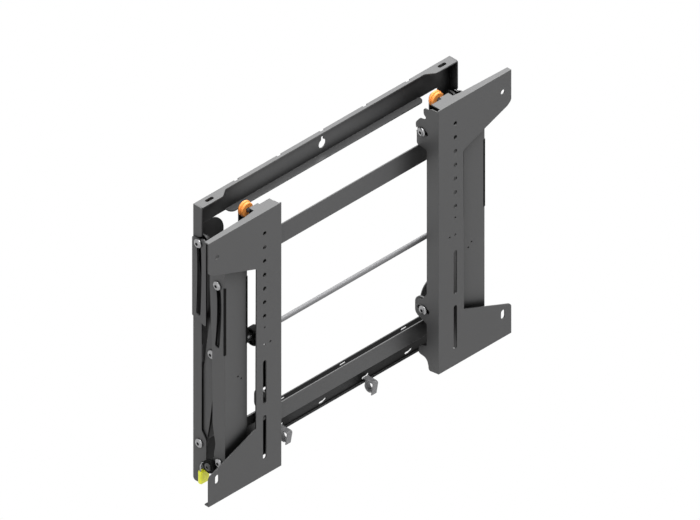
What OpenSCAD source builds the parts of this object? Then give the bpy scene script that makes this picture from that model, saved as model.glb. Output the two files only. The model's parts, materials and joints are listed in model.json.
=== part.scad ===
/* [Wall frame] */
// Overall width of the wall frame, outside of the side channels
frame_w = 538; // [520:1:560]
// Overall height of the wall frame
frame_h = 500; // [480:1:520]
// Depth of the side channels and of the wide ends of the top flange
frame_d = 17.7; // [16:0.1:22]
// Thickness of the pressed steel sheet
sheet = 2; // [1.5:0.1:2.4]
// Height of the top rail
top_rail_h = 43; // [36:1:50]
// Depth of the top rail's upper flange between its wide ends
top_flange_d = 7.3; // [6:0.1:10]
// Depth of the top rail's lower flange
lower_flange_d = 14.2; // [10:0.1:16]
// Half length of the top rail's lower flange
lower_flange_x = 203; // [180:1:210]
// Height of the bottom rail
bottom_rail_h = 59; // [50:1:66]
// Distance between the fixing points along both rails
fixing_pitch = 90; // [80:1:95]
// Diameter of the wall screw holes
wall_hole_d = 7; // [6:0.5:8]
// Width between the wall screw holes
wall_hole_span = 500; // [498:1:506]
// Height between the wall screw holes
wall_hole_rise = 300; // [260:5:320]

/* [Guide plates] */
// Thickness of the slotted guide plates on the wall frame
guide_t = 2.4; // [2:0.1:3]
// Depth of the guide plates
guide_d = 29; // [27:0.5:32]

/* [Scissor arms] */
// Lower pivot of arm A on the wall frame: distance from the wall
pivot_y = 13.2; // [12.5:0.1:14]
// Lower pivot of arm A: height below the middle of the frame
pivot_drop = 178; // [170:1:182]
// Arm A, from the lower pivot to the centre pivot
a_low = 172.6; // [168:0.1:176]
// Arm A, from the centre pivot to the display slider
a_high = 138.3; // [134:0.1:140]
// Arm B, from the centre pivot to the wall slider
b_high = 194.4; // [190:0.1:196]
// Arm B, from the centre pivot to the display pivot
b_low = 185.3; // [180:0.1:188]
// Angle of arm A from the vertical with the mount closed
rest_angle = 7.6; // [7.2:0.1:8]
// Swing of arm A from closed to fully out
open_angle = 46.2; // [40:0.1:46.2]
// Share of the swing by which the display leans back when out
tilt_share = 0.1; // [0.09:0.01:0.11]
// Width of the arms
arm_w = 25; // [22:0.5:26]
// Thickness of arm A, a flat bar
arm_a_t = 4; // [3:0.1:4.4]
// Thickness of the web of arm B, a channel
arm_b_t = 3; // [2.5:0.1:3.4]
// Height of the flanges of arm B
arm_b_flange = 9; // [6:0.5:9]
// Diameter of the pivot bolts
bolt_d = 8; // [6:0.5:8.6]
// Diameter of the nylon slider bushes
bush_d = 8.4; // [8:0.1:8.8]
// Diameter of the tie rod
tie_rod_d = 8; // [6:0.5:9]
// Diameter of the hub on the tie rod
hub_d = 30; // [24:1:32]

/* [Rest buffers] */
// Depth of the ribbed rubber strips on the side channels' front edges
buffer_d = 2.5; // [2:0.1:3]
// Pitch of the ribs
rib_pitch = 3.9; // [3.5:0.1:4.4]
// Ribs on one strip
ribs = 8; // [6:1:8]

/* [Display carrier] */
// Width of the front of a display channel
channel_w = 46.3; // [44:0.1:48]
// Distance of the channels' front face from the wall
channel_y = 70; // [69:0.5:72]
// Length of the display channels
channel_h = 410; // [402:1:420]
// Height of the upper crossbar
crossbar_h = 35; // [30:1:38]
// Height of the lower crossbar
low_bar_h = 30; // [26:1:32]
// Depth of the crossbars' folded foot
crossbar_d = 10; // [8:0.5:12]
// Thickness of the nylon slide liners
liner_t = 1.9; // [1.5:0.1:2.2]

/* [Display brackets] */
// Height of a display bracket
bracket_h = 478; // [460:1:484]
// Distance of the brackets' front face from the wall
bracket_y = 81; // [80.5:0.5:83]
// Width across the outer edges of both brackets
bracket_span = 635; // [624:1:644]
// Width of a bracket's column
column_w = 52; // [46:1:54]
// Width between the inner faces of the two columns
column_gap = 330; // [324:1:336]
// Width between the two inner rows of screen holes
inner_spacing = 400; // [396:1:404]
// Width between the two outer holes
outer_spacing = 600; // [590:1:606]
// Height between the upper and lower screen holes
hole_spacing_z = 400; // [390:1:406]
// Pitch of the row of screen holes
hole_pitch = 25; // [20:1:26]
// Screen holes in each column
hole_count = 7; // [4:1:7]
// Diameter of the screen holes
screen_hole_d = 7; // [5:0.5:8]
// Depth that each bracket slides in and out, each way
depth_travel = 8; // [4:0.5:8]
// Diameter of the orange adjuster wheels
knob_d = 25; // [22:0.5:26]

/* [Lock] */
// Width of the padlock body
lock_w = 19; // [16:0.5:20]
// Height of the padlock body
lock_h = 19; // [15:0.5:22]
// Thickness of the padlock body
lock_t = 8; // [7:0.5:10]
// Diameter of the padlock shackle
shackle_d = 2.6; // [2:0.1:3.2]

/* [Hidden] */
$fn = 48;
// Clearances between pieces: running fit of a pin, free play, and a slot round its bush
fit = 0.05;
play = 0.3;
slot_play = 0.35;
cut = 1;
arc_steps = 5;
half_w = frame_w / 2;
half_h = frame_h / 2;
// Layers outwards along X: arm B, arm A, frame side, guide plate, channel side
arm_gap = 0.5;
side_gap = 1;
arm_a_x = half_w - sheet - side_gap - arm_a_t;
arm_b_x = arm_a_x - arm_gap - arm_b_t;
arm_b_in = arm_b_x - arm_b_flange;
guide_x = half_w + guide_t;
channel_out = guide_x + 0.9;
channel_in = channel_out - channel_w;
liner_x = channel_out - sheet - liner_t;
// Scissor geometry: places are [Y, Z] with the mount closed
b_rest = asin(a_low * sin(rest_angle) / b_high);
b_open = asin(a_low * sin(rest_angle + open_angle) / b_high);
b_share = (b_open - b_rest) / open_angle;
function lean(angle) = [-sin(angle), cos(angle)];
function centre_at(q) = [-pivot_y, -pivot_drop] + a_low * lean(rest_angle + q);
function wall_slider_at(q) = centre_at(q) + b_high * lean(-b_rest - b_share * q);
function display_pivot_at(q) = centre_at(q) - b_high / b_high * b_low * lean(-b_rest - b_share * q);
function display_slider_at(q) = centre_at(q) + a_high * lean(rest_angle + q);
function turned(v, angle) = [v[0] * cos(angle) - v[1] * sin(angle), v[0] * sin(angle) + v[1] * cos(angle)];
// Display slider as the display carrier sees it, because the carrier leans back as it comes out
function slider_in_carrier(q) =
    display_pivot_at(0) + turned(display_slider_at(q) - display_pivot_at(q), tilt_share * q);
wall_pivot = [-pivot_y, -pivot_drop];
centre = centre_at(0);
wall_slider = wall_slider_at(0);
display_slider = display_slider_at(0);
display_pivot = display_pivot_at(0);
path_steps = 16;
wall_path = [for (k = [0:path_steps]) wall_slider_at(open_angle * k / path_steps)];
carrier_path = [for (k = [0:path_steps]) slider_in_carrier(open_angle * k / path_steps)];
slot_r = bush_d / 2 + slot_play;
bolt_r = bolt_d / 2;
head_r = bolt_r * 1.9;
head_h = bolt_r * 0.95;
washer_h = 0.9;
nut_r = bolt_r * 1.8;
nut_h = bolt_r * 1.4;
// The arms' ends are narrower, so that they clear the frame's flanges and the channels' fronts
arm_end_r = 10.5;
arm_front_r = 9;
taper = 40;
// Tie rod on arm B, just below the centre pivot and a little behind it
rod_drop = 12;
rod_back = 4;
rod_at = centre - rod_drop * lean(-b_rest) + rod_back * turned(lean(-b_rest), -90);
// Carrier
carrier_z = channel_h / 2;
channel_back = 38;
channel_slim = 44;
crossbar_y = 36;
crossbar_z = 121;
low_bar_z = -197;
bar_lap = 18;
column_in = column_gap / 2;
column_out = column_in + column_w;
lug_gap = 0.5;
lug_x = column_in + sheet + lug_gap;
lug_t = 3;
upper_lug = [-46, 187];
lower_lug = [-49, -135];
upper_lug_back = 34;
lower_lug_back = 29;
lug_web_y = 58;
lug_web_h = 38;
knob_z = 227;
knob_x = inner_spacing / 2;
screw_r = 3;
screw_tip = channel_y - 0.5;
tab_w = 18;
tab_y = 57;
tab_drop = 11;
low_knob_z = -220;
low_knob_x = channel_in + sheet + knob_d / 2 + 2;
knob_len = 9;
knob_y = crossbar_y + play;
ear_w = 18;
// Brackets
bracket_top = bracket_h / 2 + 2;
bracket_low = bracket_top - bracket_h;
wing_out = bracket_span / 2;
top_hole_z = 202;
flange_back = 8.6;
column_flange = 25;
// Lock parts on the left frame side
roller_at = [-41, -203];
roller_r = 11;
roller_w = 6;
eye = [-21, -211];
eye_r = 3.4;
frame_foot_y = 27.5;
foot_z = -167;
// Height of the clips' slots above the foot of the bottom rail
clip_z = 7;
notch_y = 12.5;
notch_z = -221;

black = "#2b2b2d";

// Outline helpers
function unit(v) = v / norm(v);
function wrap(list, i) = list[(i + len(list)) % len(list)];
function flat(p) = [p[0], p[1]];
function corner_arc(a, p, b, r) = r <= 0 ? [p] :
    let (u = unit(a - p), v = unit(b - p), half = acos(max(-1, min(1, u * v))) / 2,
         c = p + unit(u + v) * r / sin(half), s = p + u * r / tan(half) - c,
         e = p + v * r / tan(half) - c, from = atan2(s[1], s[0]), to = atan2(e[1], e[0]),
         turn = to - from > 180 ? to - from - 360 : to - from < -180 ? to - from + 360 : to - from)
    [for (k = [0:arc_steps]) c + r * [cos(from + turn * k / arc_steps), sin(from + turn * k / arc_steps)]];
// Outline from [x, y, corner radius] points
function rounded(pts) = [for (i = [0:len(pts) - 1])
    each corner_arc(flat(wrap(pts, i - 1)), flat(pts[i]), flat(wrap(pts, i + 1)), pts[i][2])];
function side_of(path, i) = let (d = unit(path[min(i + 1, len(path) - 1)] - path[max(i - 1, 0)])) [-d[1], d[0]];
// Outline of a slot of half width w round a path
function slot_outline(path, w) = let (n = len(path) - 1, ends = 8) concat(
    [for (i = [0:n]) path[i] + w * side_of(path, i)],
    [for (k = [1:ends - 1]) path[n] + w * turned(side_of(path, n), -180 * k / ends)],
    [for (i = [n:-1:0]) path[i] - w * side_of(path, i)],
    [for (k = [1:ends - 1]) path[0] - w * turned(side_of(path, 0), -180 * k / ends)]);
// Capsule outline between two points
module capsule(a, b, r) {
    n = r * side_of([a, b], 0);
    polygon([a + n, b + n, b - n, a - n]);
    translate(a) circle(r = r);
    translate(b) circle(r = r);
}
// Plate square to X: its outline is in Y and Z, and it runs from x to x + t
module x_plate(x, t) {
    translate([x, 0, 0]) rotate([90, 0, 90]) linear_extrude(t) children();
}
// Plate square to Y: its outline is in X and Z, and it runs from y towards the front
module y_plate(y, t) {
    translate([0, y, 0]) rotate([90, 0, 0]) linear_extrude(t) children();
}
module z_plate(z, t) {
    translate([0, 0, z]) linear_extrude(t) children();
}
module at_x(x, p) {
    translate([x, p[0], p[1]]) rotate([0, 90, 0]) children();
}
module on_side(s) {
    mirror([s < 0 ? 1 : 0, 0, 0]) children();
}
module both_sides() {
    for (s = [-1, 1]) on_side(s) children();
}
// Round bore along X through [Y, Z]
module bore_x(p, r, x = 0, len = 400) {
    at_x(x, p) cylinder(r = r, h = len);
}

// Domed head with a hex socket, its seat at z = 0
module button_head(r, h) {
    rim = 0.22 * h;
    dome = 62;
    steps = 8;
    difference() {
        rotate_extrude() polygon(concat([[0, 0], [r, 0]],
            [for (k = [0:steps]) [r * cos(dome * k / steps), rim + (h - rim) * sin(dome * k / steps) / sin(dome)]],
            [[0, h]]));
        translate([0, 0, 0.35 * h]) cylinder(r = 0.38 * r, h = h, $fn = 6);
    }
}
// Button head bolt along X, its head's seat at x and its tip towards the middle
module button_bolt(p, seat, tip, r = bolt_r) {
    at_x(seat, p) button_head(r * 1.9, r * 0.95);
    at_x(tip, p) cylinder(r = r, h = seat - tip);
}
module hex_nut(p, x, h = nut_h, r = bolt_r) {
    difference() {
        at_x(x, p) cylinder(r = r * 1.8, h = h, $fn = 6);
        bore_x(p, r + fit, x - cut, h + 2 * cut);
    }
}
module ring(p, x, len, outer, inner) {
    difference() {
        at_x(x, p) cylinder(r = outer, h = len);
        bore_x(p, inner, x - cut, len + 2 * cut);
    }
}

// Top rail: a C-section, its upper flange wide at the ends
module top_rail() {
    inner = half_w - sheet;
    wide = 224;
    slim = 209;
    keyhole_z = half_h - 24;
    hole_x = 244;
    color(black) difference() {
        union() {
            y_plate(0, sheet) translate([-inner, half_h - top_rail_h]) square([2 * inner, top_rail_h]);
            z_plate(half_h - sheet, sheet) polygon(rounded(concat(
                [[-inner, 0, 0], [-inner, -frame_d, 0], [-wide, -frame_d, 8], [-slim, -top_flange_d, 8]],
                [[slim, -top_flange_d, 8], [wide, -frame_d, 8], [inner, -frame_d, 0], [inner, 0, 0]])));
            z_plate(half_h - top_rail_h, sheet) polygon(rounded([[-lower_flange_x, 0, 0],
                [-lower_flange_x, -lower_flange_d, 9], [lower_flange_x, -lower_flange_d, 9],
                [lower_flange_x, 0, 0]]));
        }
        // Keyhole in the middle of the web
        y_plate(cut, sheet + 2 * cut) union() {
            translate([0, keyhole_z]) circle(r = 7.6);
            capsule([0, keyhole_z], [0, keyhole_z + 11], 2.5);
        }
        // Oblong holes in the wide ends and notches along the back edge
        z_plate(half_h - sheet - cut, sheet + 2 * cut) union() {
            for (s = [-1, 1]) capsule([s * (hole_x - 5), -9], [s * (hole_x + 5), -9], 3);
            for (k = [-2:2]) translate([k * fixing_pitch - 4, -2.4]) square([8, 4]);
        }
    }
}

// Bottom rail: a flat web with screw slots and a short lip along its foot
module bottom_rail() {
    inner = half_w - sheet;
    lip = 4.6;
    upper_slot_pitch = 128;
    upper_slot_x = 43;
    color(black) difference() {
        union() {
            y_plate(0, sheet) translate([-inner, -half_h]) square([2 * inner, bottom_rail_h]);
            z_plate(-half_h, sheet) translate([-inner, -lip]) square([2 * inner, lip]);
        }
        y_plate(cut, sheet + 2 * cut) union() {
            for (k = [-1:1]) {
                x = upper_slot_x + k * upper_slot_pitch;
                capsule([x - 5, -half_h + bottom_rail_h - 4.5], [x + 5, -half_h + bottom_rail_h - 4.5], 1.6);
            }
        }
        for (k = [-2:2]) y_plate(cut, sheet + 2 * cut) translate([k * fixing_pitch, clip_z - half_h])
            polygon(slot_outline([[-5, 0], [1, 0], [6, 2]], 2.2));
    }
}

// Side channel of the wall frame, with the widened foot that carries the lower pivot
module side_channel(s) {
    flange_in = half_w - 27;
    gusset_r = 30;
    color(black) on_side(s) difference() {
        union() {
            x_plate(half_w - sheet, sheet) polygon(rounded([[0, half_h, 0], [0, -half_h, 5],
                [-notch_y, -half_h, 3], [-notch_y, notch_z, 3], [-frame_foot_y, notch_z, 6],
                [-frame_foot_y, foot_z, 8], [-frame_d, foot_z + 14, 8], [-frame_d, 44, 2],
                [-pivot_y + slot_r + 1, 50, 2], [-pivot_y + slot_r + 1, 193, 2], [-frame_d, 199, 2],
                [-frame_d, half_h, 3]]));
            y_plate(0, sheet) union() {
                polygon([[flange_in, -half_h + bottom_rail_h], [half_w, -half_h + bottom_rail_h],
                    [half_w, half_h - top_rail_h], [flange_in, half_h - top_rail_h]]);
                low_z = bottom_rail_h - half_h + gusset_r;
                for (z = s < 0 ? [half_h - top_rail_h - gusset_r, low_z] : [low_z]) intersection() {
                    translate([half_w - 32, z]) circle(r = gusset_r, $fn = 96);
                    translate([half_w - 32 - gusset_r, z - gusset_r]) square([gusset_r + 32, 2 * gusset_r]);
                }
            }
        }
        bore_x(wall_pivot, bolt_r + fit);
        bore_x(eye, eye_r);
        for (z = [-1, 1]) translate([wall_hole_span / 2, cut, z * wall_hole_rise / 2]) rotate([90, 0, 0])
            cylinder(d = wall_hole_d, h = sheet + 2 * cut);
    }
}

// Guide plate with the long upright slot of the wall slider
module guide_plate(s) {
    low = 45;
    top = 193;
    color(black) on_side(s) difference() {
        x_plate(half_w, guide_t) polygon(rounded([[0, top, 2], [0, low + 5, 2], [-guide_d, low - 4, 3],
            [-guide_d, top + 4, 6], [-guide_d + 9, top + 4, 6], [-guide_d + 12, top, 4]]));
        x_plate(half_w - cut, guide_t + 2 * cut) polygon(slot_outline(wall_path, slot_r));
    }
}

module wall_pivot_bolts() {
    color("silver") both_sides() {
        button_bolt(wall_pivot, half_w, arm_a_x - nut_h - play);
        ring(wall_pivot, half_w - sheet - side_gap + fit, side_gap - 2 * fit, bolt_r * 1.7, bolt_r);
    }
}
module wall_pivot_nuts() {
    color("silver") both_sides() hex_nut(wall_pivot, arm_a_x - nut_h - play / 2);
}

// Open cable hook plugged into a slot of the bottom rail, a bent band seen from its side
module cable_hook() {
    width = 8;
    half_t = 1.1;
    tongue = 4;
    path = [[-26.4, 3], [-23, -4], [-21.4, -12], [-18, -18.6], [-12.8, -21.4], [-8.4, -19], [-6.4, -13],
        [-6.4, -3], [-8.4, 0.4], [-12.6, 1.8], [-17, 0.4]];
    color("#7d7d80") translate([0, 0, clip_z - half_h]) {
        x_plate(-width / 2, width) polygon(slot_outline(path, half_t));
        translate([-4, -6.8, -1.6]) cube([tongue, 6.3, 3.2]);
    }
}
module cable_clips() {
    for (s = [-1, 1]) translate([s * fixing_pitch, 0, 0]) cable_hook();
}

// Ribbed rubber strips on the front edges of the side channels
module rest_buffers() {
    low = -28;
    color("#161617") both_sides() {
        translate([half_w - sheet, -frame_d - buffer_d / 2, low]) cube([sheet, buffer_d / 2, ribs * rib_pitch]);
        for (k = [0:ribs - 1])
            translate([half_w - sheet, -frame_d - buffer_d, low + (k + 0.25) * rib_pitch])
                cube([sheet, buffer_d - 0.2, rib_pitch / 2]);
    }
}

// Flat bar outline from a to b, narrower at both ends
module bar_outline(a, b, r_a, r_b) {
    d = unit(b - a);
    n = [-d[1], d[0]] * arm_w / 2;
    from = a + taper * d;
    to = b - taper * d;
    ends = 16;
    polygon(concat([for (k = [0:ends]) a + r_a * turned(unit(n), 180 * k / ends)], [from - n, to - n],
        [for (k = [0:ends]) b + r_b * turned(-unit(n), 180 * k / ends)], [to + n, from + n]));
}
// Arm A: a flat bar from the lower wall pivot to the display slider
module arm_a(s) {
    color(black) on_side(s) difference() {
        x_plate(arm_a_x, arm_a_t) bar_outline(wall_pivot, display_slider, arm_end_r, arm_front_r);
        bore_x(wall_pivot, bolt_r + fit);
        bore_x(centre, bolt_r + fit);
        bore_x(display_slider, bolt_r + fit);
    }
}
module display_slider_bolts() {
    color("silver") both_sides() {
        button_bolt(display_slider, channel_out + play, arm_a_x - nut_h);
        hex_nut(display_slider, arm_a_x - nut_h, nut_h - play);
    }
}
module display_slider_bushes() {
    color("#1c1c1e") both_sides()
        ring(display_slider, arm_a_x + arm_a_t, channel_out + play - arm_a_x - arm_a_t, bush_d / 2, bolt_r + fit);
}

// Arm B: a channel from the wall slider down to the display pivot, made upright below its slider
module arm_b(s) {
    r = arm_w / 2;
    foot = b_high + b_low;
    color(black) on_side(s) translate([0, wall_slider[0], wall_slider[1]]) rotate([-b_rest, 0, 0])
        difference() {
            union() {
                x_plate(arm_b_x, arm_b_t) bar_outline([0, 0], [0, -foot], arm_end_r, arm_front_r);
                for (y = [r, arm_b_t - r]) y_plate(y, arm_b_t) polygon(rounded([[arm_b_in, -taper, 7],
                    [arm_b_in, taper - foot, 7], [arm_b_x + cut, taper - foot, 0],
                    [arm_b_x + cut, -taper, 0]]));
            }
            for (down = [0, b_high, foot]) bore_x([0, -down], bolt_r + fit);
            bore_x([rod_back, -b_high - rod_drop], tie_rod_d / 2 + fit);
        }
}
module centre_pivot_bolts() {
    color("silver") both_sides() {
        button_bolt(centre, arm_a_x + arm_a_t + fit, arm_b_x - nut_h);
        ring(centre, arm_b_x + arm_b_t, arm_gap - fit, bolt_r * 1.7, bolt_r);
    }
}
module centre_pivot_nuts() {
    color("silver") both_sides() hex_nut(centre, arm_b_x - 5, 5);
}
module wall_slider_bolts() {
    color("silver") both_sides() {
        button_bolt(wall_slider, guide_x + play, arm_b_x - nut_h - play);
        hex_nut(wall_slider, arm_b_x - nut_h);
    }
}
module wall_slider_bushes() {
    color("#1c1c1e") both_sides() {
        len = guide_x + play - arm_b_x - arm_b_t;
        ring(wall_slider, arm_b_x + arm_b_t, len, bush_d / 2, bolt_r + fit);
    }
}
module tie_rod() {
    color("#a8a8aa") at_x(-arm_b_x - arm_b_t + fit, rod_at) cylinder(d = tie_rod_d, h = 2 * (arm_b_x + arm_b_t - fit));
}
// Spoked hub on the tie rod
module tie_rod_hub() {
    w = 13;
    x = -column_in - sheet - 1 - w;
    color("#1c1c1e") difference() {
        at_x(x, rod_at) cylinder(d = hub_d, h = w);
        bore_x(rod_at, tie_rod_d / 2 + fit, x - cut, w + 2 * cut);
        difference() {
            bore_x(rod_at, hub_d / 2 - 2.5, x - cut, 5);
            bore_x(rod_at, tie_rod_d / 2 + 3, x - 2 * cut, 8);
            for (a = [0:60:120]) translate([x, rod_at[0], rod_at[1]]) rotate([a, 0, 0])
                translate([-2, -hub_d, -1]) cube([8, 2 * hub_d, 2]);
        }
    }
}

// Display channel: a U-section with its outer side slotted for the display slider
module display_channel(s) {
    ear_low = low_knob_z - 13;
    lip_low = 10;
    lip_top = 132;
    color(black) on_side(s) difference() {
        union() {
            y_plate(sheet - channel_y, sheet) translate([channel_in, -carrier_z]) square([channel_w, channel_h]);
            x_plate(channel_out - sheet, sheet) union() {
                polygon(rounded([[-channel_y + cut, carrier_z, 0], [-channel_y + cut, -carrier_z, 0],
                    [-47, -carrier_z, 4], [-47, -178, 6], [-50, -160, 8], [-channel_slim, -125, 8],
                    [-channel_slim + 1, lip_low, 8], [-channel_back, 120, 8], [-channel_back, carrier_z, 6]]));
                translate(roller_at) circle(r = 9);
                polygon([roller_at + [0, 9], roller_at - [0, 9], [-55, -carrier_z], [-50, -180]]);
            }
            x_plate(channel_in, sheet) polygon(rounded([[-channel_y + cut, carrier_z, 0],
                [-channel_y + cut, -carrier_z, 0], [-60, ear_low, 6], [-channel_back, ear_low, 0],
                [-channel_back, low_bar_z + low_bar_h + 6, 4], [-channel_slim, low_bar_z + low_bar_h + 14, 4],
                [-channel_slim, 96, 6],
                [-channel_back, 108, 6], [-channel_back, carrier_z, 6]]));
            // Ear for the lower adjuster and the flanges that the crossbars are fixed to
            y_plate(-crossbar_y, channel_back - crossbar_y) union() {
                translate([channel_in, ear_low]) square([arm_b_in - channel_in - 1, 36]);
                translate([channel_in, crossbar_z - 4]) square([bar_lap + 1, crossbar_h + 8]);
                translate([channel_in, low_bar_z - 4]) square([bar_lap + 1, low_bar_h + 8]);
            }
        }
        x_plate(channel_out - sheet - cut, sheet + 2 * cut) polygon(slot_outline(carrier_path, slot_r));
        // Corner notches that the liner's lips fill
        for (x = [channel_in - cut, channel_out - 2.7])
            translate([x, -channel_y - cut, lip_low]) cube([2.7 + cut, 3, lip_top - lip_low]);
        bore_x(display_pivot, bolt_r + fit, arm_b_x);
        bore_x(roller_at, 3 + fit, arm_b_x);
        translate([low_knob_x, -channel_back - cut, low_knob_z]) rotate([-90, 0, 0]) cylinder(r = screw_r + fit, h = 6);
        for (dx = [-2, 5], dz = [-48, -41]) if ((dx < 0) == (dz < -45))
            translate([channel_in + 14 + dx, -channel_y - cut, dz]) rotate([-90, 0, 0]) cylinder(r = 1.7, h = 6);
    }
}

// Nylon liner behind the slotted side, with lips that show at the channel's corners
module slide_liner(s) {
    low = 8;
    top = 140;
    lip_low = 10 + play / 3;
    lip_h = 122 - play;
    lip_y = channel_y - sheet;
    color("#111112") on_side(s) {
        difference() {
            union() {
                x_plate(liner_x, liner_t) polygon([[-lip_y + play, low], [-45, low], [-45, top], [-lip_y + play, top]]);
                translate([channel_out - 2.6, -channel_y, lip_low]) cube([4, 1.9, lip_h]);
                translate([liner_x, -lip_y, lip_low]) cube([liner_t - 0.1, 2, lip_h]);
                translate([channel_out - 2.6, -lip_y - 0.9, lip_low]) cube([0.6, 1.4, lip_h]);
            }
            x_plate(liner_x - cut, liner_t + 2 * cut) polygon(slot_outline(carrier_path, slot_r));
        }
        translate([channel_in - 1.4, -channel_y, lip_low]) cube([4, 1.9, lip_h]);
        translate([channel_in + sheet + 0.1, -lip_y, lip_low]) cube([liner_t, 12, lip_h]);
        translate([channel_in + sheet + 0.1, -lip_y - 0.9, lip_low]) cube([0.5, 1.4, lip_h]);
    }
}

// Crossbar between the channels, an angle with its foot folded towards the wall
module crossbar(z, h) {
    lip = channel_in - 4;
    reach = channel_in + bar_lap;
    y_plate(sheet - crossbar_y, sheet) translate([-reach, z]) square([2 * reach, h]);
    z_plate(z, sheet) translate([-lip, -crossbar_y]) square([2 * lip, crossbar_d]);
}
module upper_crossbar() {
    top = crossbar_z + crossbar_h;
    ear_top = knob_z + 9;
    color(black) difference() {
        union() {
            crossbar(crossbar_z, crossbar_h);
            // Ears that carry the upper adjusters
            y_plate(sheet - crossbar_y, sheet) for (s = [-1, 1])
                polygon(rounded([[s * knob_x - ear_w / 2, top - cut, 0], [s * knob_x + ear_w / 2, top - cut, 0],
                    [s * knob_x + ear_w / 2, ear_top, 8], [s * knob_x - ear_w / 2, ear_top, 8]]));
        }
        for (s = [-1, 1]) translate([s * knob_x, -crossbar_y - cut, knob_z]) rotate([-90, 0, 0])
            cylinder(r = screw_r + fit, h = sheet + 2 * cut);
    }
}
module lower_crossbar() {
    color(black) crossbar(low_bar_z, low_bar_h);
}

module display_pivot_bolts() {
    color("silver") both_sides() {
        button_bolt(display_pivot, channel_out, arm_b_x - nut_h - play);
        ring(display_pivot, arm_b_x + arm_b_t + fit, channel_out - sheet - arm_b_x - arm_b_t - 2 * fit,
            bolt_r * 1.5, bolt_r);
    }
}
module display_pivot_nuts() {
    color("silver") both_sides() hex_nut(display_pivot, arm_b_x - nut_h - play / 2);
}

// Lug bracket: a web on the channel's inner side, folded back into a lug for the bracket bolt
module lug_bracket(s, p, back, web_h = lug_web_h) {
    low = p[1] - lug_web_h / 2;
    color(black) on_side(s) difference() {
        union() {
            y_plate(sheet - lug_web_y, sheet) translate([lug_x, low]) square([channel_in - lug_x, web_h]);
            x_plate(channel_in - sheet, sheet) translate([-lug_web_y, low]) square([16, web_h]);
            x_plate(lug_x, lug_t) polygon(rounded([[-lug_web_y, low, 0], [-back, low, 10],
                [-back, low + lug_web_h, 14], [-lug_web_y, low + lug_web_h, 0]]));
        }
        bore_x(p, bolt_r + fit, lug_x - cut, lug_t + 2 * cut);
    }
}
// Bolt from the middle outwards through the bracket's slot into a lug
module lug_bolt(p) {
    seat = column_in - play;
    translate([seat, p[0], p[1]]) rotate([0, -90, 0]) button_head(head_r, head_h);
    at_x(seat, p) cylinder(r = bolt_r, h = lug_x + lug_t + nut_h - seat);
    hex_nut(p, lug_x + lug_t, nut_h - play);
}
module lug_bolts(s) {
    color("silver") on_side(s) for (p = [upper_lug, lower_lug]) lug_bolt(p);
}

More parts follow.
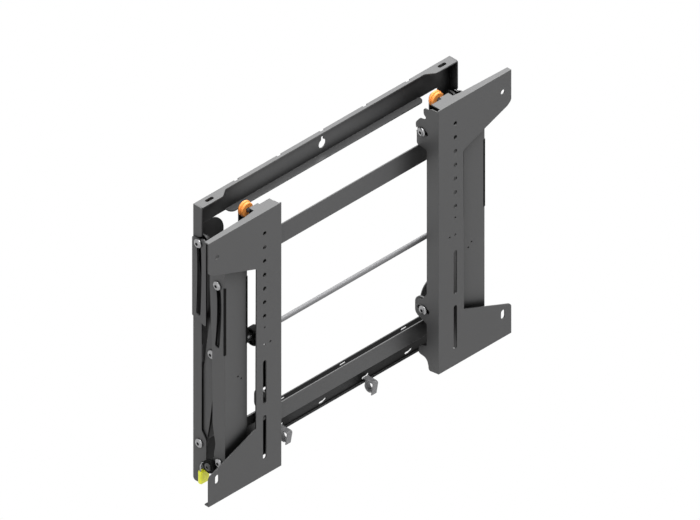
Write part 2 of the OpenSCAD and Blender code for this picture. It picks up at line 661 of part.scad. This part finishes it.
// Display bracket: a C-shaped plate that bolts to the back of the screen
module bracket(s) {
    slot_half = screen_hole_d / 2;
    slot_x = inner_spacing / 2;
    low_hole_z = top_hole_z - hole_spacing_z;
    wing_low = 186;
    back = -bracket_y + column_flange;
    tongue_y = -61;
    lip_w = 24;
    plate_low = bracket_low;
    color(black) on_side(s) difference() {
        union() {
            y_plate(sheet - bracket_y, sheet) polygon(rounded([[column_in, bracket_top, 0], [column_in, plate_low, 0],
                [wing_out, plate_low, 0], [wing_out, -184, 8], [column_out + 1, -144.5, 3], [column_out, 145.5, 3],
                [wing_out - 8, 179.5, 10], [wing_out, wing_low, 8], [wing_out, bracket_top, 2]]));
            z_plate(bracket_top - sheet, sheet) polygon([[column_in + 5, -bracket_y], [wing_out, -bracket_y],
                [wing_out, -bracket_y + flange_back], [column_out + 14, -bracket_y + flange_back + 3],
                [knob_x + tab_w / 2, -bracket_y + flange_back + 5.5], [knob_x + tab_w / 2, tongue_y],
                [column_in + 5, tongue_y]]);
            z_plate(plate_low, sheet) polygon([[column_in + 8, -bracket_y], [wing_out, -bracket_y],
                [wing_out, -bracket_y + flange_back], [column_in + 8, -bracket_y + flange_back]]);
            // Return lip behind the column, open where the lugs are
            hub_gap = hub_d / 2 + 4;
            for (z = [[-100, rod_at[1] - hub_gap], [rod_at[1] + hub_gap, 154], [-222, -160]]) y_plate(back, sheet)
                translate([column_in, z[0]]) square([lip_w, z[1] - z[0]]);
            // Tongues folded off the flanges, with the nut tabs that the adjuster screws run through
            z_plate(bracket_top - sheet, sheet) translate([knob_x - tab_w / 2, -bracket_y + flange_back - cut])
                square([tab_w, bracket_y - flange_back + cut - tab_y]);
            y_plate(-tab_y, sheet) translate([knob_x - tab_w / 2, knob_z - tab_drop])
                square([tab_w, bracket_top - knob_z + tab_drop]);
            z_plate(plate_low, sheet) translate([low_knob_x - tab_w / 2, -bracket_y + cut])
                square([tab_w, bracket_y - cut - tab_y]);
            y_plate(-tab_y, sheet) translate([low_knob_x - tab_w / 2, plate_low])
                square([tab_w, low_knob_z + tab_drop - plate_low]);
            // Inner side flange with its lugs
            x_plate(column_in, sheet) polygon(rounded([[-bracket_y + cut, bracket_top - 3, 0],
                [-66, bracket_top - 4, 2], [-58, bracket_top - 9, 3], [-49, bracket_top - 8, 5], [-49.5, 221, 4],
                [-55, 216, 2], [-50, 211, 4], [-41, 209, 6], [-32.5, 198, 9], [-35, 180, 9],
                [-35, 160, 4], [back, 158.5, 4], [back, -104, 6], [-46, -117, 5], [-35, -121, 8],
                [-35.5, -138, 6], [-43, -152, 6], [back, -158, 4], [back, -198, 6], [-39, -205, 4],
                [-39, -218, 4], [-56, -220, 10], [-59.5, -232, 6], [-60, plate_low - 4, 4], [-66, plate_low - 2, 2],
                [-bracket_y + cut, plate_low, 0]]));
        }
        for (at = [[knob_x, knob_z], [low_knob_x, low_knob_z]])
            translate([at[0], -tab_y + cut, at[1]]) rotate([90, 0, 0])
                cylinder(r = screw_r + fit, h = sheet + 2 * cut);
        // Depth slots for the lug bolts
        for (p = [upper_lug, lower_lug]) x_plate(column_in - cut, sheet + 2 * cut)
            capsule(p - [depth_travel + play, 0], p + [depth_travel + play, 0], bolt_r + play);
        for (k = [0:hole_count - 1]) translate([slot_x, -bracket_y - cut, top_hole_z - k * hole_pitch])
            rotate([-90, 0, 0]) cylinder(r = slot_half, h = sheet + 2 * cut);
        y_plate(sheet - bracket_y + cut, sheet + 2 * cut) union() {
            capsule([slot_x, -32], [slot_x, -104], slot_half);
            capsule([slot_x, -132], [slot_x, low_hole_z - 6], slot_half);
            capsule([outer_spacing / 2, low_hole_z + 7], [outer_spacing / 2, low_hole_z - 1], slot_half + 0.5);
            translate([slot_x, 0]) circle(r = 2);
            translate([slot_x - 12, 0]) circle(r = 2);
            translate([slot_x, 31]) circle(r = 1.8);
        }
        translate([outer_spacing / 2, -bracket_y - cut, top_hole_z + 7]) rotate([-90, 0, 0])
            cylinder(r = slot_half + 0.7, h = sheet + 2 * cut);
    }
}

// Adjuster: a grooved orange wheel on a screw, whose front end runs in the bracket's nut tab
module knob(s, x, z, y) {
    r = knob_d / 2;
    tail = 5.5;
    color("#f58a1f") on_side(s) translate([x, -y, z]) rotate([90, 0, 0]) {
        rotate_extrude() polygon([[0, 0], [r - 1, 0], [r, 1], [r, 3.6], [r - 1.6, 4], [r - 1.6, 4.8],
            [r - 0.6, 5.2], [r - 0.6, knob_len - 1], [r - 1.6, knob_len], [0, knob_len]]);
        translate([0, 0, -play - tail]) cylinder(r = screw_r, h = screw_tip - y + play + tail);
    }
}

// Catch roller on the left channel's side
module catch_roller() {
    color("#1c1c1e") on_side(-1) ring(roller_at, channel_out + play, roller_w, roller_r, 3 + fit);
}
module catch_pin() {
    color("silver") on_side(-1) {
        at_x(channel_out + play + roller_w + 0.1, roller_at) button_head(6.5, 2.6);
        at_x(channel_out - sheet - 4, roller_at) cylinder(r = 3, h = sheet + 4 + play + roller_w + 0.1);
    }
}

// Padlock hanging in the eye of the left side channel
lock_x = half_w - sheet / 2;
lock_top = eye[1] - 12;
leg_gap = lock_w - shackle_d - 3;
module padlock_body() {
    color("#d8dc3c") on_side(-1) difference() {
        translate([lock_x, eye[0], lock_top - lock_h]) translate([-lock_w / 2, 0, 0]) rotate([90, 0, 90])
            linear_extrude(lock_w) polygon(rounded([[-lock_t / 2, 0, 1.5], [lock_t / 2, 0, 1.5],
                [lock_t / 2, lock_h, 1.5], [-lock_t / 2, lock_h, 1.5]]));
        for (s = [-1, 1]) translate([lock_x + s * leg_gap / 2, eye[0], lock_top - 5])
            cylinder(r = shackle_d / 2 + fit, h = 6);
    }
}
module padlock_shackle() {
    bend = leg_gap / 2;
    rise = eye[1] + eye_r - play - shackle_d / 2 - bend;
    color("silver") on_side(-1) translate([lock_x, eye[0], 0]) {
        for (s = [-1, 1]) translate([s * bend, 0, lock_top - 5]) cylinder(d = shackle_d, h = rise - lock_top + 5);
        translate([0, 0, rise]) rotate([90, 0, 0]) rotate_extrude(angle = 180) translate([bend, 0]) circle(d = shackle_d, $fn = 24);
    }
}

top_rail();
bottom_rail();
side_channel(-1);  // left_side_channel
side_channel(1);  // right_side_channel
guide_plate(-1);  // left_guide_plate
guide_plate(1);  // right_guide_plate
wall_pivot_bolts();
wall_pivot_nuts();
cable_clips();
rest_buffers();
arm_a(-1);  // left_arm_a
arm_a(1);  // right_arm_a
display_slider_bolts();
display_slider_bushes();
arm_b(-1);  // left_arm_b
arm_b(1);  // right_arm_b
centre_pivot_bolts();
centre_pivot_nuts();
wall_slider_bolts();
wall_slider_bushes();
tie_rod();
tie_rod_hub();
display_channel(-1);  // left_display_channel
display_channel(1);  // right_display_channel
slide_liner(-1);  // left_slide_liner
slide_liner(1);  // right_slide_liner
upper_crossbar();
lower_crossbar();
display_pivot_bolts();
display_pivot_nuts();
lug_bracket(-1, upper_lug, upper_lug_back);  // upper_left_lug
lug_bracket(1, upper_lug, upper_lug_back);  // upper_right_lug
lug_bracket(-1, lower_lug, lower_lug_back, 18);  // lower_left_lug
lug_bracket(1, lower_lug, lower_lug_back, 18);  // lower_right_lug
lug_bolts(-1);  // left_lug_bolts
lug_bolts(1);  // right_lug_bolts
bracket(-1);  // left_bracket
bracket(1);  // right_bracket
knob(-1, knob_x, knob_z, knob_y);  // upper_left_knob
knob(1, knob_x, knob_z, knob_y);  // upper_right_knob
knob(-1, low_knob_x, low_knob_z, channel_back + play);  // lower_left_knob
knob(1, low_knob_x, low_knob_z, channel_back + play);  // lower_right_knob
catch_roller();
catch_pin();
padlock_body();
padlock_shackle();
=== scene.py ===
"""Pop-out wall mount for a video wall screen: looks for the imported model."""
import json
import math

import bmesh
import bpy
from mathutils import Matrix, Vector


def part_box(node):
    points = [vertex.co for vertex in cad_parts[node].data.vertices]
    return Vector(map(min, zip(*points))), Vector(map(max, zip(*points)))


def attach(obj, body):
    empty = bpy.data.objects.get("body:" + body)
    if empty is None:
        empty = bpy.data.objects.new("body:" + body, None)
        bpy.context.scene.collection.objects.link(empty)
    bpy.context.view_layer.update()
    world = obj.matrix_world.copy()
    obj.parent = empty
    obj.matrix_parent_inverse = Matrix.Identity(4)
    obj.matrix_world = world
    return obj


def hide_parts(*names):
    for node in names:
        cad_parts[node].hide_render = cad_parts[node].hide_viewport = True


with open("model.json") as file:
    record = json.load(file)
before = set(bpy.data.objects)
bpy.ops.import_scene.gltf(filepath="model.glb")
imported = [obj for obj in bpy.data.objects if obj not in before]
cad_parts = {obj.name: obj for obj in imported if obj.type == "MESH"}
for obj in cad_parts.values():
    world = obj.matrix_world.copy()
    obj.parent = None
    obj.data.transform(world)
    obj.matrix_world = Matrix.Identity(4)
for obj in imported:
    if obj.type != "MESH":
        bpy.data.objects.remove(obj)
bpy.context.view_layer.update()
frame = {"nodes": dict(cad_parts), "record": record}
nodes = frame["nodes"]

# Camera: lengths in metres, angles in degrees
camera_aim = Vector((0.0200, -0.0400, 0.0233))
camera_azimuth = -45
camera_elevation = 35.264
camera_distance = 3
camera_clip_end = 20
picture_width = 1.0386

# Floor and light
floor_level = -0.75
floor_size = 6
floor_colour = (0.8, 0.8, 0.8)
white_colour = (1, 1, 1)
white_strength = 1
world_strength = 0.48

# Colours, in linear light
coat_colour = (0.05, 0.05, 0.051)
coat_worn_colour = (0.062, 0.062, 0.063)
steel_colour = (0.36, 0.36, 0.365)
# Painted shade: a darker copy of the steel for the nuts set back in the assembly
shaded_nut_colour = (0.1, 0.1, 0.102)
# Painted shade: the near-black laid on the wall slider bolts' shanks, inwards of their heads
painted_shank_shade_colour = (0.02, 0.02, 0.02)
rod_colour = (0.24, 0.24, 0.245)
nylon_colour = (0.004, 0.004, 0.004)
rubber_colour = (0.01, 0.01, 0.011)
grey_clip_colour = (0.2, 0.2, 0.205)
orange_colour = (0.95, 0.34, 0.07)
yellow_colour = (0.93, 0.95, 0.04)
dark_steel_colour = (0.035, 0.035, 0.037)

# Lengths on the mount
bolt_head = 0.004
clip_offset = 0.09
weld_distance = 0.00001


# Material nodes

def feed(tree, value, socket):
    """A node's output is linked to the socket; a number or a colour is set on it."""
    if isinstance(value, bpy.types.NodeSocket):
        tree.links.new(value, socket)
    else:
        socket.default_value = value


def calculate(tree, operation, *values):
    """One sum with one or two values."""
    node = tree.nodes.new("ShaderNodeMath")
    node.operation = operation
    for value, socket in zip(values, node.inputs):
        feed(tree, value, socket)
    return node.outputs[0]


def along(tree, vector, axis):
    """One coordinate of a vector."""
    node = tree.nodes.new("ShaderNodeSeparateXYZ")
    tree.links.new(vector, node.inputs["Vector"])
    return node.outputs[axis]


def noise(tree, place, scale, detail):
    """A cloudy pattern from 0 to 1."""
    node = tree.nodes.new("ShaderNodeTexNoise")
    node.inputs["Scale"].default_value = scale
    node.inputs["Detail"].default_value = detail
    tree.links.new(place, node.inputs["Vector"])
    return node.outputs["Fac"]


def blend(tree, factor, first, second, kind="MIX"):
    """Two colours blended."""
    node = tree.nodes.new("ShaderNodeMix")
    node.data_type = "RGBA"
    node.blend_type = kind
    feed(tree, factor, node.inputs["Factor"])
    feed(tree, first, node.inputs["A"])
    feed(tree, second, node.inputs["B"])
    return node.outputs["Result"]


def ramp(tree, value, low, high):
    """Value from 0 to 1 blended between two plain colours."""
    return blend(tree, value, (*low, 1), (*high, 1))


def darker(colour, share):
    """A share of a plain colour."""
    return tuple(part * share for part in colour)


def span(tree, value, low, high, to_low, to_high):
    """Value from low to high, stretched to run from to_low to to_high and no further."""
    node = tree.nodes.new("ShaderNodeMapRange")
    node.inputs["From Min"].default_value = low
    node.inputs["From Max"].default_value = high
    node.inputs["To Min"].default_value = to_low
    node.inputs["To Max"].default_value = to_high
    tree.links.new(value, node.inputs["Value"])
    return node.outputs["Result"]


# Camera, floor and light

def add_object(name, data):
    """A new object in the scene."""
    holder = bpy.data.objects.new(name, data)
    bpy.context.scene.collection.objects.link(holder)
    return holder


def look_from(holder, place, backwards):
    """Puts a camera or a lamp at place, with its back to the direction backwards."""
    holder.location = place
    holder.rotation_euler = backwards.to_track_quat("Z", "Y").to_euler()


def add_camera():
    """A straight-on isometric camera: no perspective, seen from the front left and above."""
    azimuth = math.radians(camera_azimuth)
    elevation = math.radians(camera_elevation)
    back = Vector((math.sin(azimuth) * math.cos(elevation),
                   -math.cos(azimuth) * math.cos(elevation), math.sin(elevation)))
    camera = bpy.data.cameras.new("camera")
    camera.type = "ORTHO"
    camera.ortho_scale = picture_width
    camera.clip_end = camera_clip_end
    holder = add_object("camera", camera)
    look_from(holder, camera_aim + back * camera_distance, back)
    bpy.context.scene.camera = holder


def add_lamp(name, place, size, power):
    """A soft square lamp at place that looks at the middle of the mount."""
    lamp = bpy.data.lights.new(name, "AREA")
    lamp.shape = "SQUARE"
    lamp.size = size
    lamp.energy = power
    look_from(add_object(name, lamp), place, Vector(place))


def seen_as_white(tree, shader, output, white):
    """Camera, glossy and transmission rays see plain white; all others get shader."""
    path = tree.nodes.new("ShaderNodeLightPath")
    seen = calculate(tree, "MAXIMUM", path.outputs["Is Camera Ray"], path.outputs["Is Glossy Ray"])
    seen = calculate(tree, "MAXIMUM", seen, path.outputs["Is Transmission Ray"])
    mix = tree.nodes.new("ShaderNodeMixShader")
    tree.links.new(seen, mix.inputs[0])
    tree.links.new(shader, mix.inputs[1])
    tree.links.new(white, mix.inputs[2])
    tree.links.new(mix.outputs[0], output)


def background(tree, strength):
    """White light of one strength from all round."""
    node = tree.nodes.new("ShaderNodeBackground")
    node.inputs["Color"].default_value = (*white_colour, 1)
    node.inputs["Strength"].default_value = strength
    return node.outputs[0]


def light_the_world():
    """Even light from all round, behind a white background."""
    world = bpy.data.worlds.new("studio")
    bpy.context.scene.world = world
    world.use_nodes = True
    tree = world.node_tree
    tree.nodes.clear()
    output = tree.nodes.new("ShaderNodeOutputWorld")
    light = background(tree, world_strength)
    white = background(tree, white_strength)
    seen_as_white(tree, light, output.inputs["Surface"], white)


def add_floor():
    """A pale floor well below the mount, which hangs on a wall."""
    shape = bmesh.new()
    bmesh.ops.create_grid(shape, x_segments=1, y_segments=1, size=floor_size)
    bmesh.ops.translate(shape, verts=shape.verts, vec=(0, 0, floor_level))
    mesh = bpy.data.meshes.new("floor")
    shape.to_mesh(mesh)
    shape.free()
    floor = add_object("floor", mesh)
    material = bpy.data.materials.new("pale_floor")
    material.use_nodes = True
    tree = material.node_tree
    tree.nodes.clear()
    output = tree.nodes.new("ShaderNodeOutputMaterial")
    matte = tree.nodes.new("ShaderNodeBsdfDiffuse")
    matte.inputs["Color"].default_value = (*floor_colour, 1)
    white = tree.nodes.new("ShaderNodeEmission")
    white.inputs["Strength"].default_value = white_strength
    seen_as_white(tree, matte.outputs[0], output.inputs["Surface"], white.outputs[0])
    mesh.materials.append(material)


# Finishes

def start_material(name, roughness, metallic=0.0, specular=0.5):
    """A material with its shader, and the object's own coordinates."""
    material = bpy.data.materials.new(name)
    material.use_nodes = True
    tree = material.node_tree
    shader = tree.nodes["Principled BSDF"]
    shader.inputs["Roughness"].default_value = roughness
    shader.inputs["Metallic"].default_value = metallic
    shader.inputs["Specular IOR Level"].default_value = specular
    place = tree.nodes.new("ShaderNodeTexCoord")
    return material, tree, shader, place.outputs["Object"]


def vary_roughness(tree, shader, pattern, roughness, spread):
    """Roughness that follows the middle of a noise pattern, by spread either way."""
    pattern_low, pattern_high = 0.3, 0.7
    varied = span(tree, pattern, pattern_low, pattern_high, roughness - spread, roughness + spread)
    tree.links.new(varied, shader.inputs["Roughness"])


def bump(tree, shader, height, depth, edge_radius):
    """Fine relief, over edges that are rounded a little."""
    node = tree.nodes.new("ShaderNodeBump")
    node.inputs["Strength"].default_value = 1
    node.inputs["Distance"].default_value = depth
    tree.links.new(height, node.inputs["Height"])
    if edge_radius:
        edge = tree.nodes.new("ShaderNodeBevel")
        edge.samples = 4
        edge.inputs["Radius"].default_value = edge_radius
        tree.links.new(edge.outputs["Normal"], node.inputs["Normal"])
    tree.links.new(node.outputs["Normal"], shader.inputs["Normal"])


def painted_corner_shade(tree, colour, reach, darkest, closed_to, open_from, up_facing_unshaded_share=0.0):
    """Painted shade: colour darkened where other surfaces stand within reach, down to darkest times
    itself.

    It is darkest up to an openness of closed_to, and not darkened from open_from on. A face that
    looks up keeps at least the given share of its colour: up-facing faces are spared the painted
    shade.
    """
    tilted, upward = 0.3, 0.9
    # Ambient occlusion darkens the colour itself here: painted shade in corners and recesses
    shade = tree.nodes.new("ShaderNodeAmbientOcclusion")
    shade.samples = 8
    shade.inputs["Distance"].default_value = reach
    share = span(tree, shade.outputs["AO"], closed_to, open_from, darkest, 1.0)
    if up_facing_unshaded_share:
        facing = tree.nodes.new("ShaderNodeNewGeometry")
        up = along(tree, facing.outputs["True Normal"], "Z")
        share = calculate(tree, "MAXIMUM", share, span(tree, up, tilted, upward, 0.0, up_facing_unshaded_share))
    return blend(tree, 1, colour, share, "MULTIPLY")


def powder_coat(name, reach=0.06, closed_to=0.54, specular=0.5):
    """Black powder coat on sheet steel: satin, with a fine orange-peel texture, and painted shade
    in its recesses.
    """
    roughness, roughness_spread = 0.46, 0.04
    peel_scale, peel_detail, peel_depth = 900, 2, 0.00004
    cloud_scale, cloud_detail = 9, 3
    # Painted shade in recesses: its darkest share, the openness where it stops, and the share
    # up-facing faces keep
    darkest, open_from, up_facing_unshaded_share = 0.02, 0.98, 0.9
    edge_radius = 0.0009
    material, tree, shader, place = start_material(name, roughness, specular=specular)
    peel = noise(tree, place, peel_scale, peel_detail)
    cloud = noise(tree, place, cloud_scale, cloud_detail)
    colour = ramp(tree, cloud, coat_colour, coat_worn_colour)
    # Painted shade darkens the coat's colour in recesses and corners
    colour = painted_corner_shade(tree, colour, reach, darkest, closed_to, open_from, up_facing_unshaded_share)
    tree.links.new(colour, shader.inputs["Base Color"])
    vary_roughness(tree, shader, cloud, roughness, roughness_spread)
    bump(tree, shader, peel, peel_depth, edge_radius)
    return material


def plated_steel(name, colour, roughness, edge_radius=0.0004, head=None):
    """Zinc-plated steel with faint turning marks, and painted shade darkening its colour in
    corners.

    With head, a distance from the middle along X, it is painted near-black inwards of there:
    painted shade on the bolt's shank.
    """
    roughness_spread = 0.06
    marks_scale, marks_detail, marks_depth, marks_share = 420, 3, 0.00002, 0.8
    # Painted shade in corners: its reach, darkest share and openness range
    reach, darkest, closed_to, open_from = 0.03, 0.3, 0.3, 0.85
    shank_shade_fades_over = 0.001
    material, tree, shader, place = start_material(name, roughness, metallic=1.0)
    marks = noise(tree, place, marks_scale, marks_detail)
    tint = ramp(tree, marks, colour, darker(colour, marks_share))
    tint = painted_corner_shade(tree, tint, reach, darkest, closed_to, open_from)
    # Painted shade: near-black inwards of the head
    if head:
        outwards = calculate(tree, "ABSOLUTE", along(tree, place, "X"))
        out_of_shank_shade = span(tree, outwards, head - shank_shade_fades_over, head, 0.0, 1.0)
        tint = blend(tree, out_of_shank_shade, (*painted_shank_shade_colour, 1), tint)
    tree.links.new(tint, shader.inputs["Base Color"])
    vary_roughness(tree, shader, marks, roughness, roughness_spread)
    bump(tree, shader, marks, marks_depth, edge_radius)
    return material


def moulded(name, colour, roughness, grain_scale=700, specular=0.5):
    """Moulded plastic or rubber with a fine grain, or lacquer and dark steel with a coarser one."""
    roughness_spread = 0.05
    grain_detail, grain_depth = 2, 0.00003
    cloud_scale, cloud_detail, cloud_share = 40, 2, 0.82
    edge_radius = 0.0004
    material, tree, shader, place = start_material(name, roughness, specular=specular)
    grain = noise(tree, place, grain_scale, grain_detail)
    cloud = noise(tree, place, cloud_scale, cloud_detail)
    tint = ramp(tree, cloud, colour, darker(colour, cloud_share))
    tree.links.new(tint, shader.inputs["Base Color"])
    vary_roughness(tree, shader, grain, roughness, roughness_spread)
    bump(tree, shader, grain, grain_depth, edge_radius)
    return material


def paint(node_names, material):
    """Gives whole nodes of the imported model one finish."""
    for name in node_names:
        mesh = nodes[name].data
        mesh.materials.clear()
        mesh.materials.append(material)


# Pieces

def finish_piece(shape, name, material, body, smooth=40, rounding=0.0):
    """A new piece from a shape: smooth below an angle in degrees, and riding on its body."""
    mesh = bpy.data.meshes.new(name)
    shape.to_mesh(mesh)
    shape.free()
    piece = add_object(name, mesh)
    mesh.materials.append(material)
    mesh.shade_smooth()
    mesh.set_sharp_from_angle(angle=math.radians(smooth))
    if rounding:
        edge = piece.modifiers.new("rounded edges", "BEVEL")
        edge.width = rounding
        edge.segments = 2
        edge.limit_method = "ANGLE"
        edge.angle_limit = math.radians(smooth)
    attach(piece, body)
    return piece


def bent_band(x, width, thickness, start, moves):
    """A strip of one thickness, centred on x, that follows moves from start, a (y, z) point.

    A move (dy, dz) is straight; a move (y, z, turn, steps) is a bend about that (y, z) point.
    """
    shape = bmesh.new()
    ends = [shape.verts.new((x + half, *start)) for half in (-width / 2, width / 2)]
    edge = shape.edges.new(ends)
    for move in moves:
        if len(move) == 2:
            made = bmesh.ops.extrude_edge_only(shape, edges=[edge])["geom"]
            verts = [v for v in made if isinstance(v, bmesh.types.BMVert)]
            bmesh.ops.translate(shape, verts=verts, vec=(0, *move))
        else:
            y, z, turn, steps = move
            made = bmesh.ops.spin(shape, geom=[*edge.verts, edge], cent=(x, y, z), axis=(1, 0, 0),
                                  dvec=(0, 0, 0), angle=math.radians(turn), steps=steps,
                                  use_duplicate=False)["geom_last"]
        edge = [e for e in made if isinstance(e, bmesh.types.BMEdge)
                and abs(e.verts[0].co.x - e.verts[1].co.x) > width / 2][0]
    bmesh.ops.remove_doubles(shape, verts=shape.verts, dist=weld_distance)
    bmesh.ops.recalc_face_normals(shape, faces=shape.faces)
    bmesh.ops.solidify(shape, geom=shape.faces[:], thickness=thickness)
    bmesh.ops.recalc_face_normals(shape, faces=shape.faces)
    return shape


def join_shapes(first, second):
    """Second added to first."""
    mesh = bpy.data.meshes.new("join")
    second.to_mesh(mesh)
    second.free()
    first.from_mesh(mesh)
    bpy.data.meshes.remove(mesh)
    return first


def cable_clip(side, x):
    """A plugged-in cable clip: a wide front blade on an arch, and a cable ring behind it."""
    width, thickness, edge_radius = 0.0105, 0.0018, 0.0003
    front = -0.0206
    _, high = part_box("cable_clips")
    slot_z = high.z - 0.0046
    foot = (front, slot_z - 0.022)
    rise = (-0.0035, 0.02)
    arch_centre = (front, slot_z - 0.002)
    arch_turn, arch_steps = -95, 8
    tongue = (0.0185, 0.0)
    blade = bent_band(x, width, thickness, foot,
                      [rise, (*arch_centre, arch_turn, arch_steps), tongue])
    root = (-0.006, slot_z - 0.0012)
    drop = (0.0, -0.006)
    loop_centre = (-0.0139, slot_z - 0.0105)
    loop_turn, loop_steps = -150, 24
    ring = bent_band(x, width, thickness, root,
                     [drop, (*loop_centre, loop_turn, loop_steps)])
    piece = finish_piece(join_shapes(blade, ring), side + "_cable_clip", grey_plastic, "wall_frame",
                         smooth=50, rounding=edge_radius)
    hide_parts("cable_clips")


def height_of(edge):
    """Difference in height between an edge's two ends."""
    return abs(edge.verts[0].co.z - edge.verts[1].co.z)


def round_edges(shape, edges, radius, steps):
    """Rounds off some edges of a shape."""
    bmesh.ops.bevel(shape, geom=edges, offset=radius, offset_type="OFFSET", segments=steps,
                    profile=0.5, affect="EDGES", material=-1)


def lock():
    """Padlock case with rounded edges, a little longer than its solid."""
    extra_length = 0.0025
    corner_radius, corner_steps = 0.003, 5
    rim_radius, rim_steps = 0.0012, 3
    low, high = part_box("padlock_body")
    low.z -= extra_length
    middle = (low + high) / 2
    size = high - low
    body = bmesh.new()
    bmesh.ops.create_cube(body, size=1)
    bmesh.ops.scale(body, vec=size, verts=body.verts)
    bmesh.ops.translate(body, vec=middle, verts=body.verts)
    upright = [e for e in body.edges if height_of(e) > size.z / 2]
    round_edges(body, upright, corner_radius, corner_steps)
    level = [e for e in body.edges if height_of(e) < size.z / 10]
    round_edges(body, level, rim_radius, rim_steps)
    piece = finish_piece(body, "padlock_case", yellow, "padlock", smooth=50)
    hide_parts("padlock_body")


def turned(profile, steps, facing):
    """A turned shape from (radius, height) points round the Z axis, then moved by facing."""
    shape = bmesh.new()
    verts = [shape.verts.new((radius, 0, height)) for radius, height in profile]
    edges = [shape.edges.new(pair) for pair in zip(verts, verts[1:])]
    bmesh.ops.spin(shape, geom=verts + edges, cent=(0, 0, 0), axis=(0, 0, 1), dvec=(0, 0, 0),
                   angle=2 * math.pi, steps=steps, use_merge=True, use_duplicate=False)
    bmesh.ops.remove_doubles(shape, verts=shape.verts, dist=weld_distance)
    bmesh.ops.recalc_face_normals(shape, faces=shape.faces)
    bmesh.ops.transform(shape, matrix=facing, verts=shape.verts)
    bmesh.ops.recalc_face_normals(shape, faces=shape.faces)
    return shape


def wheel_profile(radius):
    """Half section of the wheel: a wide flange, a groove, and a barrel recessed round the bore."""
    bore, depth = 0.0031, 0.009
    flange_edge, flange_top = 0.001, 0.0036
    groove_low, groove_high = 0.0043, 0.0048
    groove_radius = radius - 0.0022
    barrel_radius = radius - 0.0008
    barrel_start, barrel_lip = 0.005, 0.0004
    rounding, chamfer, recess = 0.0005, 0.0008, 0.0006
    return [(bore, 0.0), (radius - flange_edge, 0.0), (radius, chamfer), (radius, flange_top),
            (radius - rounding, flange_top + rounding),
            (groove_radius, groove_low), (groove_radius, groove_high),
            (barrel_radius - barrel_lip, barrel_start), (barrel_radius, barrel_start + rounding),
            (barrel_radius, depth - chamfer), (barrel_radius - chamfer, depth),
            (bore + 2 * recess, depth), (bore + recess, depth - recess), (bore, depth - recess),
            (bore, 0.0)]


def screw_profile(start, length):
    """Half section of the screw, from start: thread rings on a core, and a socket in its end."""
    outer, core, chamfer = 0.003, 0.0025, 0.0006
    pitch, first_ring, plain_length = 0.0015, 0.0008, 0.002
    crest_end, root_start, root_end = 0.3 * pitch, 0.6 * pitch, 0.8 * pitch
    socket_radius, socket_depth = 0.0014, 0.002
    points = [(0, start), (outer - chamfer, start)]
    for k in range(int((length - plain_length) / pitch)):
        ring = start + first_ring + k * pitch
        points += [(outer, ring), (outer, ring + crest_end), (core, ring + root_start),
                   (core, ring + root_end)]
    end = start + length
    points += [(outer - chamfer, end), (socket_radius, end), (socket_radius, end - socket_depth),
               (0, end - socket_depth)]
    return points


def adjuster(side, level):
    """Grooved orange wheel, and the dark screw that it turns."""
    node = level + "_" + side + "_knob"
    body = level + "_" + side + "_adjuster"
    tail, play = 0.0055, 0.0003
    wheel_steps, screw_steps = 64, 20
    low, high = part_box(node)
    middle = (low + high) / 2
    back = high.y - tail - play
    facing = (Matrix.Translation((middle.x, back, middle.z))
              @ Matrix.Rotation(math.pi / 2, 4, "X"))
    wheel = turned(wheel_profile((high.x - low.x) / 2), wheel_steps, facing)
    wheel = finish_piece(wheel, node + "_wheel", orange, body)
    screw = turned(screw_profile(-tail - play, high.y - low.y), screw_steps, facing)
    screw = finish_piece(screw, node + "_screw", dark_steel, body)
    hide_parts(node)
    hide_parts(node)


bpy.context.scene.view_settings.view_transform = "Standard"
add_camera()
add_floor()
light_the_world()
add_lamp("top_lamp", place=(0.0, -0.35, 1.9), size=1.6, power=62)
add_lamp("back_lamp", place=(1.3, 1.3, 1.45), size=1.6, power=36)
add_lamp("left_lamp", place=(-1.8, -0.5, 0.4), size=1.4, power=4)
add_lamp("front_lamp", place=(0.7, -1.9, 0.4), size=1.4, power=1.5)

coat = powder_coat("black_powder_coat")
# A second coat with deeper painted shade and a weaker sheen, so the bottom rail's recessed web
# turns near-black
deep_painted_shade_coat = powder_coat("black_powder_coat_with_deep_painted_shade", reach=0.2, closed_to=0.84, specular=0.15)
steel = plated_steel("bright_steel", steel_colour, roughness=0.3)
rod_steel = plated_steel("drawn_rod_steel", rod_colour, roughness=0.62, edge_radius=0.0)
# Nuts set back in the assembly get a darker copy of the bright steel: painted shade
painted_shade_nut_steel = plated_steel("steel_nuts_with_painted_shade", shaded_nut_colour, roughness=0.42)
nylon = moulded("black_nylon", nylon_colour, roughness=0.75, specular=0.1)
rubber = moulded("black_rubber", rubber_colour, roughness=0.7)
grey_plastic = moulded("grey_clip_plastic", grey_clip_colour, roughness=0.45)
orange = moulded("orange_plastic", orange_colour, roughness=0.5)
dark_steel = moulded("dark_steel", dark_steel_colour, roughness=0.35, grain_scale=500)
yellow = moulded("yellow_lacquer", yellow_colour, roughness=0.3, grain_scale=300)

finishes = {"black_steel": coat, "bright_steel": steel, "black_nylon": nylon,
            "black_rubber": rubber, "grey_plastic": grey_plastic, "orange_plastic": orange,
            "yellow_paint": yellow}
for entry in frame["record"]["subparts"]:
    paint([entry["node"]], finishes[entry["material_slot"]])
paint(["tie_rod"], rod_steel)
# The bottom rail takes the coat with the deeper painted shade
paint(["bottom_rail"], deep_painted_shade_coat)
# The pivot nuts take the darker steel: painted shade
paint(["wall_pivot_nuts", "centre_pivot_nuts", "display_pivot_nuts"], painted_shade_nut_steel)
# The wall slider bolts are painted near-black inwards of their heads: painted shade on the shanks
_, bolt_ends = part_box("wall_slider_bolts")
slider_steel = plated_steel("wall_slider_steel", steel_colour, roughness=0.3,
                            head=bolt_ends.x - bolt_head)
paint(["wall_slider_bolts"], slider_steel)

for side in ("left", "right"):
    for level in ("upper", "lower"):
        adjuster(side, level)
cable_clip("left", -clip_offset)
cable_clip("right", clip_offset)
lock()
